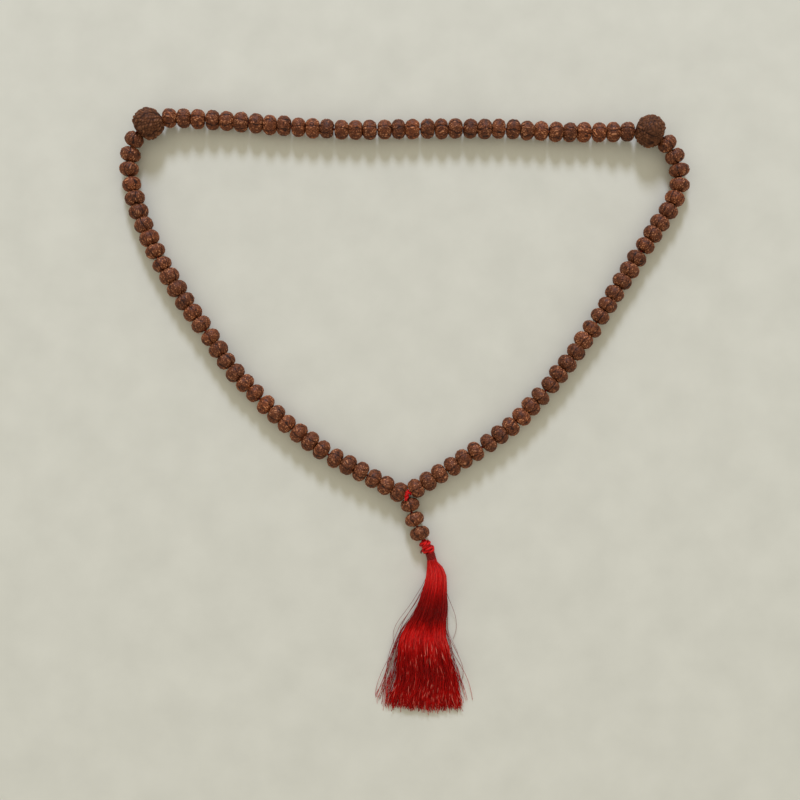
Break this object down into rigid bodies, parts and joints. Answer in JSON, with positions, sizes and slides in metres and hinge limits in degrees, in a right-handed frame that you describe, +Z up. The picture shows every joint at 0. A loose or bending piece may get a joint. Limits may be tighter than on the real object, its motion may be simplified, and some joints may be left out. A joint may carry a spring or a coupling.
{
  "type": "mala prayer beads",
  "caption": "Loop of grooved seed beads on a red thread, with two large markers, a short beaded tail and a silky red tassel.",
  "frame": {"origin": "middle of the laid-out strand in plan, on the surface it lies on", "axes": "+X along the top row from the left marker to the right one, +Y from the tassel towards the top row, +Z up off the surface"},
  "size_m": [0.2288, 0.243, 0.013],
  "materials": {
    "bead_seed": "oiled seed, deeply grooved",
    "marker_seed": "dry seed, rough and grooved",
    "thread": "twisted cord",
    "knot_cord": "twisted silky cord",
    "tassel_silk": "silky strands"
  },
  "bodies": {
    "top_strand": {"thread_top": "thread"},
    "upper_strand": {"thread_upper": "thread"},
    "shoulder_strand": {"thread_shoulder": "thread"},
    "middle_strand": {"thread_middle": "thread"},
    "lower_strand": {"thread_lower": "thread"},
    "bottom_strand": {"thread_bottom": "thread", "junction_knot": "knot_cord"},
    "tail_1": {"tail_thread_01": "thread"},
    "tail_2": {"tail_thread_02": "thread"},
    "tail_3": {"tail_thread_03": "thread"},
    "tassel_head": {"tassel_knot": "knot_cord", "tassel_neck": "tassel_silk", "tassel_binding": "knot_cord"},
    "tassel_upper": {"tassel_skirt_upper": "tassel_silk"},
    "tassel_tips": {"tassel_skirt_lower": "tassel_silk"},
    "marker_left": {"marker_left": "marker_seed"},
    "marker_right": {"marker_right": "marker_seed"},
    "tail_bead_01": {"tail_bead_01": "bead_seed"},
    "tail_bead_02": {"tail_bead_02": "bead_seed"},
    "tail_bead_03": {"tail_bead_03": "bead_seed"},
    "left_beads_31_33": {"left_beads_31_33": "bead_seed"},
    "left_beads_28_30": {"left_beads_28_30": "bead_seed"},
    "left_beads_25_27": {"left_beads_25_27": "bead_seed"},
    "left_beads_22_24": {"left_beads_22_24": "bead_seed"},
    "left_beads_19_21": {"left_beads_19_21": "bead_seed"},
    "left_beads_16_18": {"left_beads_16_18": "bead_seed"},
    "left_beads_13_15": {"left_beads_13_15": "bead_seed"},
    "left_beads_10_12": {"left_beads_10_12": "bead_seed"},
    "left_beads_07_09": {"left_beads_07_09": "bead_seed"},
    "left_beads_04_06": {"left_beads_04_06": "bead_seed"},
    "left_bead_03": {"left_bead_03": "bead_seed"},
    "left_bead_02": {"left_bead_02": "bead_seed"},
    "left_bead_01": {"left_bead_01": "bead_seed"},
    "top_beads_01_03": {"top_beads_01_03": "bead_seed"},
    "top_beads_04_06": {"top_beads_04_06": "bead_seed"},
    "top_beads_07_09": {"top_beads_07_09": "bead_seed"},
    "top_beads_10_12": {"top_beads_10_12": "bead_seed"},
    "top_beads_13_15": {"top_beads_13_15": "bead_seed"},
    "top_beads_16_18": {"top_beads_16_18": "bead_seed"},
    "top_beads_19_21": {"top_beads_19_21": "bead_seed"},
    "top_beads_22_24": {"top_beads_22_24": "bead_seed"},
    "top_beads_25_27": {"top_beads_25_27": "bead_seed"},
    "top_beads_28_30": {"top_beads_28_30": "bead_seed"},
    "top_beads_31_33": {"top_beads_31_33": "bead_seed"},
    "right_bead_01": {"right_bead_01": "bead_seed"},
    "right_bead_02": {"right_bead_02": "bead_seed"},
    "right_bead_03": {"right_bead_03": "bead_seed"},
    "right_bead_04": {"right_bead_04": "bead_seed"},
    "right_bead_05": {"right_bead_05": "bead_seed"},
    "right_bead_06": {"right_bead_06": "bead_seed"},
    "right_beads_07_09": {"right_beads_07_09": "bead_seed"},
    "right_beads_10_12": {"right_beads_10_12": "bead_seed"},
    "right_beads_13_15": {"right_beads_13_15": "bead_seed"},
    "right_beads_16_18": {"right_beads_16_18": "bead_seed"},
    "right_beads_19_21": {"right_beads_19_21": "bead_seed"},
    "right_beads_22_24": {"right_beads_22_24": "bead_seed"},
    "right_beads_25_27": {"right_beads_25_27": "bead_seed"},
    "right_beads_28_30": {"right_beads_28_30": "bead_seed"},
    "right_beads_31_33": {"right_beads_31_33": "bead_seed"}
  },
  "joints": [
    {"name": "fold_1", "type": "hinge", "parent": "top_strand", "child": "upper_strand", "pos_m": [-0.11037, 0.09343, 0.004], "axis": [-1, 0.0023, 0], "range_deg": [-20, 20]},
    {"name": "fold_2", "type": "hinge", "parent": "upper_strand", "child": "shoulder_strand", "pos_m": [-0.09867, 0.06064, 0.004], "axis": [-0.9999, -0.0116, 0], "range_deg": [-29, 29]},
    {"name": "fold_3", "type": "hinge", "parent": "shoulder_strand", "child": "middle_strand", "pos_m": [-0.07957, 0.03135, 0.004], "axis": [-0.9998, -0.0183, 0], "range_deg": [-32, 32]},
    {"name": "fold_4", "type": "hinge", "parent": "middle_strand", "child": "lower_strand", "pos_m": [-0.05785, 0.00405, 0.004], "axis": [-0.9996, -0.0269, 0], "range_deg": [-35, 35]},
    {"name": "fold_5", "type": "hinge", "parent": "lower_strand", "child": "bottom_strand", "pos_m": [-0.03074, -0.01797, 0.004], "axis": [-0.999, -0.0454, 0], "range_deg": [-42, 42]},
    {"name": "tail_lift", "type": "hinge", "parent": "bottom_strand", "child": "tail_1", "pos_m": [0.00075, -0.03357, 0.00375], "axis": [-0.9781, -0.2079, 0], "range_deg": [-28, 20]},
    {"name": "tail_bend", "type": "hinge", "parent": "tail_1", "child": "tail_2", "pos_m": [0.00231, -0.04088, 0.00375], "axis": [0, 0, 1], "range_deg": [-30, 17]},
    {"name": "tail_fold", "type": "hinge", "parent": "tail_2", "child": "tail_3", "pos_m": [0.00444, -0.04644, 0.00375], "axis": [-0.9272, -0.3746, 0], "range_deg": [-25, 25]},
    {"name": "tassel_swing", "type": "hinge", "parent": "tail_3", "child": "tassel_head", "pos_m": [0.00669, -0.052, 0.00375], "axis": [0, 0, 1], "range_deg": [-20, 20]},
    {"name": "tassel_lift", "type": "hinge", "parent": "tassel_head", "child": "tassel_upper", "pos_m": [0.01022, -0.0597, 0.00244], "axis": [-1, 0, 0], "range_deg": [-30, 30]},
    {"name": "tassel_tip_bend", "type": "hinge", "parent": "tassel_upper", "child": "tassel_tips", "pos_m": [0.01022, -0.09, 0.0018], "axis": [-1, 0, 0], "range_deg": [-25, 25]},
    {"name": "turn_marker_left", "type": "hinge", "parent": "top_strand", "child": "marker_left", "pos_m": [-0.10242, 0.11434, 0.0065], "axis": [0.8392, 0.5438, 0], "continuous": true},
    {"name": "turn_marker_right", "type": "hinge", "parent": "top_strand", "child": "marker_right", "pos_m": [0.09807, 0.111, 0.0065], "axis": [0.961, -0.2764, 0], "continuous": true},
    {"name": "turn_tail_bead_01", "type": "hinge", "parent": "tail_1", "child": "tail_bead_01", "pos_m": [0.00169, -0.03797, 0.00375], "axis": [0.2079, -0.9781, 0], "continuous": true},
    {"name": "turn_tail_bead_02", "type": "hinge", "parent": "tail_2", "child": "tail_bead_02", "pos_m": [0.00337, -0.04366, 0.00375], "axis": [0.3584, -0.9336, 0], "continuous": true},
    {"name": "turn_tail_bead_03", "type": "hinge", "parent": "tail_3", "child": "tail_bead_03", "pos_m": [0.00555, -0.0492, 0.00375], "axis": [0.3746, -0.9272, 0], "continuous": true},
    {"name": "turn_left_beads_31_33", "type": "hinge", "parent": "bottom_strand", "child": "left_beads_31_33", "pos_m": [-0.00767, -0.03033, 0.004], "axis": [-0.8803, 0.4744, 0], "continuous": true},
    {"name": "turn_left_beads_28_30", "type": "hinge", "parent": "bottom_strand", "child": "left_beads_28_30", "pos_m": [-0.02298, -0.02213, 0.004], "axis": [-0.8825, 0.4702, 0], "continuous": true},
    {"name": "turn_left_beads_25_27", "type": "hinge", "parent": "lower_strand", "child": "left_beads_25_27", "pos_m": [-0.03789, -0.01283, 0.004], "axis": [-0.8105, 0.5858, 0], "continuous": true},
    {"name": "turn_left_beads_22_24", "type": "hinge", "parent": "lower_strand", "child": "left_beads_22_24", "pos_m": [-0.05135, -0.00189, 0.004], "axis": [-0.7389, 0.6738, 0], "continuous": true},
    {"name": "turn_left_beads_19_21", "type": "hinge", "parent": "middle_strand", "child": "left_beads_19_21", "pos_m": [-0.06384, 0.0105, 0.004], "axis": [-0.679, 0.7341, 0], "continuous": true},
    {"name": "turn_left_beads_16_18", "type": "hinge", "parent": "middle_strand", "child": "left_beads_16_18", "pos_m": [-0.07461, 0.02407, 0.004], "axis": [-0.5621, 0.8271, 0], "continuous": true},
    {"name": "turn_left_beads_13_15", "type": "hinge", "parent": "shoulder_strand", "child": "left_beads_13_15", "pos_m": [-0.08466, 0.03854, 0.004], "axis": [-0.5779, 0.8161, 0], "continuous": true},
    {"name": "turn_left_beads_10_12", "type": "hinge", "parent": "shoulder_strand", "child": "left_beads_10_12", "pos_m": [-0.09415, 0.05308, 0.004], "axis": [-0.5149, 0.8573, 0], "continuous": true},
    {"name": "turn_left_beads_07_09", "type": "hinge", "parent": "upper_strand", "child": "left_beads_07_09", "pos_m": [-0.1023, 0.06866, 0.004], "axis": [-0.4115, 0.9114, 0], "continuous": true},
    {"name": "turn_left_beads_04_06", "type": "hinge", "parent": "upper_strand", "child": "left_beads_04_06", "pos_m": [-0.10812, 0.08492, 0.004], "axis": [-0.2556, 0.9668, 0], "continuous": true},
    {"name": "turn_left_bead_03", "type": "hinge", "parent": "top_strand", "child": "left_bead_03", "pos_m": [-0.11048, 0.09652, 0.004], "axis": [-0.0124, 0.9999, 0], "continuous": true},
    {"name": "turn_left_bead_02", "type": "hinge", "parent": "top_strand", "child": "left_bead_02", "pos_m": [-0.11006, 0.10247, 0.00404], "axis": [0.1519, 0.9862, 0.0664], "continuous": true},
    {"name": "turn_left_bead_01", "type": "hinge", "parent": "top_strand", "child": "left_bead_01", "pos_m": [-0.10853, 0.10824, 0.00506], "axis": [0.4139, 0.8817, 0.2266], "continuous": true},
    {"name": "turn_top_beads_01_03", "type": "hinge", "parent": "top_strand", "child": "top_beads_01_03", "pos_m": [-0.08869, 0.11669, 0.00486], "axis": [0.9946, -0.0182, -0.1022], "continuous": true},
    {"name": "turn_top_beads_04_06", "type": "hinge", "parent": "top_strand", "child": "top_beads_04_06", "pos_m": [-0.07146, 0.11588, 0.004], "axis": [0.9972, -0.0749, 0], "continuous": true},
    {"name": "turn_top_beads_07_09", "type": "hinge", "parent": "top_strand", "child": "top_beads_07_09", "pos_m": [-0.05426, 0.11448, 0.004], "axis": [0.9962, -0.0874, 0], "continuous": true},
    {"name": "turn_top_beads_10_12", "type": "hinge", "parent": "top_strand", "child": "top_beads_10_12", "pos_m": [-0.03706, 0.11315, 0.004], "axis": [0.9978, -0.0664, 0], "continuous": true},
    {"name": "turn_top_beads_13_15", "type": "hinge", "parent": "top_strand", "child": "top_beads_13_15", "pos_m": [-0.01982, 0.11248, 0.004], "axis": [0.9999, -0.011, 0], "continuous": true},
    {"name": "turn_top_beads_16_18", "type": "hinge", "parent": "top_strand", "child": "top_beads_16_18", "pos_m": [-0.00256, 0.11253, 0.004], "axis": [0.9999, 0.0168, 0], "continuous": true},
    {"name": "turn_top_beads_19_21", "type": "hinge", "parent": "top_strand", "child": "top_beads_19_21", "pos_m": [0.0147, 0.11284, 0.004], "axis": [0.9998, 0.0177, 0], "continuous": true},
    {"name": "turn_top_beads_22_24", "type": "hinge", "parent": "top_strand", "child": "top_beads_22_24", "pos_m": [0.03195, 0.11279, 0.004], "axis": [0.9997, -0.0227, 0], "continuous": true},
    {"name": "turn_top_beads_25_27", "type": "hinge", "parent": "top_strand", "child": "top_beads_25_27", "pos_m": [0.0492, 0.1121, 0.004], "axis": [0.9983, -0.0577, 0], "continuous": true},
    {"name": "turn_top_beads_28_30", "type": "hinge", "parent": "top_strand", "child": "top_beads_28_30", "pos_m": [0.06643, 0.11136, 0.004], "axis": [0.9996, -0.0267, 0], "continuous": true},
    {"name": "turn_top_beads_31_33", "type": "hinge", "parent": "top_strand", "child": "top_beads_31_33", "pos_m": [0.08369, 0.11123, 0.00486], "axis": [0.9947, 0.0105, 0.1021], "continuous": true},
    {"name": "turn_right_bead_01", "type": "hinge", "parent": "top_strand", "child": "right_bead_01", "pos_m": [0.10522, 0.10621, 0.00508], "axis": [0.6664, -0.7103, -0.2268], "continuous": true},
    {"name": "turn_right_bead_02", "type": "hinge", "parent": "top_strand", "child": "right_bead_02", "pos_m": [0.10844, 0.10141, 0.00405], "axis": [0.4417, -0.8941, -0.0741], "continuous": true},
    {"name": "turn_right_bead_03", "type": "hinge", "parent": "top_strand", "child": "right_bead_03", "pos_m": [0.11034, 0.09594, 0.004], "axis": [0.1696, -0.9855, 0], "continuous": true},
    {"name": "turn_right_bead_04", "type": "hinge", "parent": "upper_strand", "child": "right_bead_04", "pos_m": [0.11027, 0.08992, 0.004], "axis": [-0.1782, -0.984, 0], "continuous": true},
    {"name": "turn_right_bead_05", "type": "hinge", "parent": "upper_strand", "child": "right_bead_05", "pos_m": [0.1084, 0.08444, 0.004], "axis": [-0.4307, -0.9025, 0], "continuous": true},
    {"name": "turn_right_bead_06", "type": "hinge", "parent": "upper_strand", "child": "right_bead_06", "pos_m": [0.10557, 0.07937, 0.004], "axis": [-0.5275, -0.8496, 0], "continuous": true},
    {"name": "turn_right_beads_07_09", "type": "hinge", "parent": "upper_strand", "child": "right_beads_07_09", "pos_m": [0.09924, 0.06996, 0.004], "axis": [-0.561, -0.8278, 0], "continuous": true},
    {"name": "turn_right_beads_10_12", "type": "hinge", "parent": "shoulder_strand", "child": "right_beads_10_12", "pos_m": [0.08983, 0.05567, 0.004], "axis": [-0.5382, -0.8428, 0], "continuous": true},
    {"name": "turn_right_beads_13_15", "type": "hinge", "parent": "shoulder_strand", "child": "right_beads_13_15", "pos_m": [0.08079, 0.04143, 0.004], "axis": [-0.5338, -0.8456, 0], "continuous": true},
    {"name": "turn_right_beads_16_18", "type": "hinge", "parent": "middle_strand", "child": "right_beads_16_18", "pos_m": [0.07122, 0.02725, 0.004], "axis": [-0.5858, -0.8105, 0], "continuous": true},
    {"name": "turn_right_beads_19_21", "type": "hinge", "parent": "middle_strand", "child": "right_beads_19_21", "pos_m": [0.06105, 0.01381, 0.004], "axis": [-0.6205, -0.7842, 0], "continuous": true},
    {"name": "turn_right_beads_22_24", "type": "hinge", "parent": "lower_strand", "child": "right_beads_22_24", "pos_m": [0.0499, 0.00086, 0.004], "axis": [-0.6842, -0.7293, 0], "continuous": true},
    {"name": "turn_right_beads_25_27", "type": "hinge", "parent": "lower_strand", "child": "right_beads_25_27", "pos_m": [0.03731, -0.01023, 0.004], "axis": [-0.8109, -0.5852, 0], "continuous": true},
    {"name": "turn_right_beads_28_30", "type": "hinge", "parent": "bottom_strand", "child": "right_beads_28_30", "pos_m": [0.02313, -0.01973, 0.004], "axis": [-0.8469, -0.5318, 0], "continuous": true},
    {"name": "turn_right_beads_31_33", "type": "hinge", "parent": "bottom_strand", "child": "right_beads_31_33", "pos_m": [0.00876, -0.02856, 0.004], "axis": [-0.8574, -0.5147, 0], "continuous": true}
  ]
}
